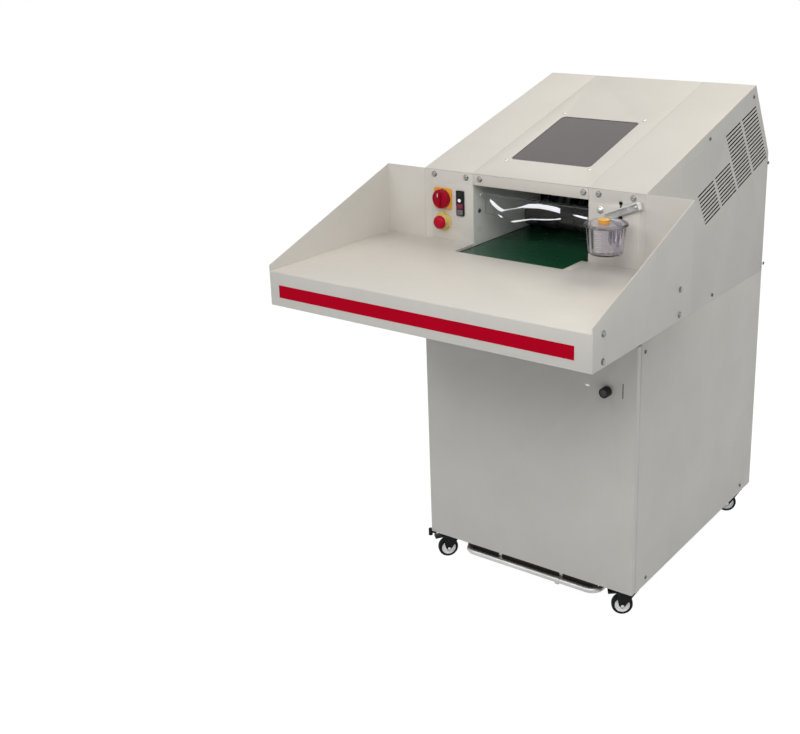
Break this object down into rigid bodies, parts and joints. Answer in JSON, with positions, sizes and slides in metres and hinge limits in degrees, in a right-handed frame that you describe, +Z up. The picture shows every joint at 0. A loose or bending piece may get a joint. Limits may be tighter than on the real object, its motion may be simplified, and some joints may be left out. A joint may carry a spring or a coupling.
{
  "type": "industrial paper shredder",
  "caption": "Floor-standing industrial paper shredder on casters: feed tray with side wings, belt-fed throat, sloping hood with window, cabinet door and bin trolley.",
  "frame": {"origin": "floor level, in the middle of the whole machine's footprint", "axes": "+Z up, +Y from the operator into the machine, +X to the operator's right"},
  "size_m": [1.01, 1.4096, 1.488],
  "materials": {
    "cream_paint": "satin, fine texture",
    "stripe_red": "gloss film",
    "belt_green": "glossy PVC belt",
    "smoked_acrylic": "polished",
    "clear_plastic": "polished",
    "zinc_steel": "bright zinc",
    "tool_steel": "ground and oiled",
    "cast_housing": "painted casting",
    "motor_blue": "enamel",
    "black_paint": "satin",
    "chrome_tube": "bright chrome",
    "bin_sheet": "galvanised",
    "roller_rubber": "ground rubber",
    "yellow_plate": "moulded",
    "switch_red": "moulded",
    "black_plastic": "moulded",
    "button_black": "moulded",
    "button_white": "lit lens",
    "button_red": "moulded",
    "button_grey": "moulded",
    "lid_orange": "moulded",
    "caster_wheel": "nylon hub, rubber tread"
  },
  "bodies": {
    "machine": {"base_frame": "black_paint", "bearing_housings": "cast_housing", "block_side_plates": "tool_steel", "cable_gland": "black_plastic", "control_plate": "cream_paint", "conveyor_bed": "zinc_steel", "conveyor_belt": "belt_green", "door_hinges": "black_paint", "drive_motor": "motor_blue", "electrical_box": "cream_paint", "feed_table": "cream_paint", "gearbox": "cast_housing", "header_plate": "cream_paint", "hood_centre_cover": "cream_paint", "hood_left_shell": "cream_paint", "hood_right_shell": "cream_paint", "inspection_window": "smoked_acrylic", "keypad_bezel": "black_plastic", "left_side_panel": "cream_paint", "left_wing": "cream_paint", "lip_stripe": "stripe_red", "machine_deck": "zinc_steel", "oil_cup": "clear_plastic", "panel_bolts": "zinc_steel", "rear_lower_panel": "cream_paint", "rear_upper_panel": "cream_paint", "right_side_panel": "cream_paint", "right_wing": "cream_paint", "service_plate": "cream_paint", "stripper_combs": "zinc_steel", "switch_plates": "yellow_plate", "throat_cheeks": "zinc_steel", "trolley_frame": "chrome_tube", "waste_bin": "bin_sheet"},
    "door": {"front_door": "cream_paint"},
    "door_lock": {"door_knob": "black_plastic"},
    "main_switch": {"main_switch_knob": "switch_red"},
    "stop_switch": {"estop_button": "switch_red"},
    "standby_button": {"standby_button": "button_black"},
    "start_button": {"start_button": "button_white"},
    "stop_button": {"stop_button": "button_red"},
    "reverse_button": {"reverse_button": "button_grey"},
    "oil_lid": {"oil_cup_lid": "lid_orange"},
    "oil_arm": {"oil_arm": "zinc_steel"},
    "guard_flap": {"guard_flap": "clear_plastic"},
    "lower_cutter": {"lower_cutter": "tool_steel"},
    "upper_cutter": {"upper_cutter": "tool_steel"},
    "drive_roller": {"conveyor_drive_roller": "zinc_steel"},
    "tail_roller": {"conveyor_tail_roller": "zinc_steel"},
    "feed_roller": {"feed_roller": "roller_rubber"},
    "front_left_caster": {"front_left_caster_fork": "black_paint"},
    "front_left_wheel": {"front_left_caster_wheel": "caster_wheel"},
    "front_left_pedal": {"front_left_brake_pedal": "black_plastic"},
    "front_right_caster": {"front_right_caster_fork": "black_paint"},
    "front_right_wheel": {"front_right_caster_wheel": "caster_wheel"},
    "front_right_pedal": {"front_right_brake_pedal": "black_plastic"},
    "rear_left_caster": {"rear_left_caster_fork": "black_paint"},
    "rear_left_wheel": {"rear_left_caster_wheel": "caster_wheel"},
    "rear_right_caster": {"rear_right_caster_fork": "black_paint"},
    "rear_right_wheel": {"rear_right_caster_wheel": "caster_wheel"}
  },
  "joints": [
    {"name": "door_hinge", "type": "hinge", "parent": "machine", "child": "door", "pos_m": [-0.356, -0.1972, 0.48], "axis": [0, 0, -1], "range_deg": [0, 110]},
    {"name": "door_lock_turn", "type": "hinge", "parent": "door", "child": "door_lock", "pos_m": [0.269, -0.2012, 0.721], "axis": [0, -1, 0], "range_deg": [0, 90]},
    {"name": "main_switch_turn", "type": "hinge", "parent": "machine", "child": "main_switch", "pos_m": [-0.296, -0.185, 1.201], "axis": [0, 1, 0], "range_deg": [0, 90]},
    {"name": "estop_press", "type": "slide", "parent": "machine", "child": "stop_switch", "axis": [0, 1, 0], "range_m": [0, 0.005], "stiffness_N_per_m": 600},
    {"name": "standby_button_press", "type": "slide", "parent": "machine", "child": "standby_button", "axis": [0, 1, 0], "range_m": [0, 0.002], "stiffness_N_per_m": 300},
    {"name": "start_button_press", "type": "slide", "parent": "machine", "child": "start_button", "axis": [0, 1, 0], "range_m": [0, 0.002], "stiffness_N_per_m": 300},
    {"name": "stop_button_press", "type": "slide", "parent": "machine", "child": "stop_button", "axis": [0, 1, 0], "range_m": [0, 0.002], "stiffness_N_per_m": 300},
    {"name": "reverse_button_press", "type": "slide", "parent": "machine", "child": "reverse_button", "axis": [0, 1, 0], "range_m": [0, 0.002], "stiffness_N_per_m": 300},
    {"name": "oil_lid_lift", "type": "slide", "parent": "machine", "child": "oil_lid", "axis": [0, 0, 1], "range_m": [0, 0.025]},
    {"name": "oil_arm_swing", "type": "hinge", "parent": "machine", "child": "oil_arm", "pos_m": [0.338, -0.1882, 1.25], "axis": [0, 1, 0], "range_deg": [0, 60]},
    {"name": "guard_flap_swing", "type": "hinge", "parent": "machine", "child": "guard_flap", "pos_m": [0, -0.1422, 1.217], "axis": [1, 0, 0], "range_deg": [-15, 70]},
    {"name": "lower_cutter_spin", "type": "hinge", "parent": "machine", "child": "lower_cutter", "pos_m": [0, 0.2498, 1.024], "axis": [1, 0, 0], "continuous": true},
    {"name": "upper_cutter_spin", "type": "hinge", "parent": "machine", "child": "upper_cutter", "pos_m": [0, 0.2498, 1.116], "axis": [1, 0, 0], "continuous": true},
    {"name": "drive_roller_spin", "type": "hinge", "parent": "machine", "child": "drive_roller", "pos_m": [0, 0.1498, 1.038], "axis": [1, 0, 0], "continuous": true},
    {"name": "tail_roller_spin", "type": "hinge", "parent": "machine", "child": "tail_roller", "pos_m": [0, -0.2942, 1.038], "axis": [1, 0, 0], "continuous": true},
    {"name": "feed_roller_spin", "type": "hinge", "parent": "machine", "child": "feed_roller", "pos_m": [0, 0.1198, 1.109], "axis": [1, 0, 0], "continuous": true},
    {"name": "front_left_swivel", "type": "hinge", "parent": "machine", "child": "front_left_caster", "pos_m": [-0.32, -0.1382, 0.09], "axis": [0, 0, 1], "continuous": true},
    {"name": "front_left_wheel_roll", "type": "hinge", "parent": "front_left_caster", "child": "front_left_wheel", "pos_m": [-0.33338, -0.15306, 0.032], "axis": [-0.7431, 0.6691, 0], "continuous": true},
    {"name": "front_left_brake_press", "type": "hinge", "parent": "front_left_caster", "child": "front_left_pedal", "pos_m": [-0.34208, -0.16272, 0.0747], "axis": [0.7431, -0.6691, 0], "range_deg": [0, 12]},
    {"name": "front_right_swivel", "type": "hinge", "parent": "machine", "child": "front_right_caster", "pos_m": [0.32, -0.1382, 0.09], "axis": [0, 0, 1], "continuous": true},
    {"name": "front_right_wheel_roll", "type": "hinge", "parent": "front_right_caster", "child": "front_right_wheel", "pos_m": [0.30323, -0.14909, 0.032], "axis": [-0.5446, 0.8387, 0], "continuous": true},
    {"name": "front_right_brake_press", "type": "hinge", "parent": "front_right_caster", "child": "front_right_pedal", "pos_m": [0.29232, -0.15617, 0.0747], "axis": [0.5446, -0.8387, 0], "range_deg": [0, 12]},
    {"name": "rear_left_swivel", "type": "hinge", "parent": "machine", "child": "rear_left_caster", "pos_m": [-0.32, 0.6368, 0.09], "axis": [0, 0, 1], "continuous": true},
    {"name": "rear_left_wheel_roll", "type": "hinge", "parent": "rear_left_caster", "child": "rear_left_wheel", "pos_m": [-0.32684, 0.61801, 0.032], "axis": [-0.9397, 0.342, 0], "continuous": true},
    {"name": "rear_right_swivel", "type": "hinge", "parent": "machine", "child": "rear_right_caster", "pos_m": [0.32, 0.6368, 0.09], "axis": [0, 0, 1], "continuous": true},
    {"name": "rear_right_wheel_roll", "type": "hinge", "parent": "rear_right_caster", "child": "rear_right_wheel", "pos_m": [0.30342, 0.62562, 0.032], "axis": [-0.5592, 0.829, 0], "continuous": true}
  ],
  "couplings": [
    {"joint": "upper_cutter_spin", "follows": "lower_cutter_spin", "ratio": -1},
    {"joint": "tail_roller_spin", "follows": "drive_roller_spin", "ratio": 1},
    {"joint": "feed_roller_spin", "follows": "drive_roller_spin", "ratio": -0.94286}
  ]
}
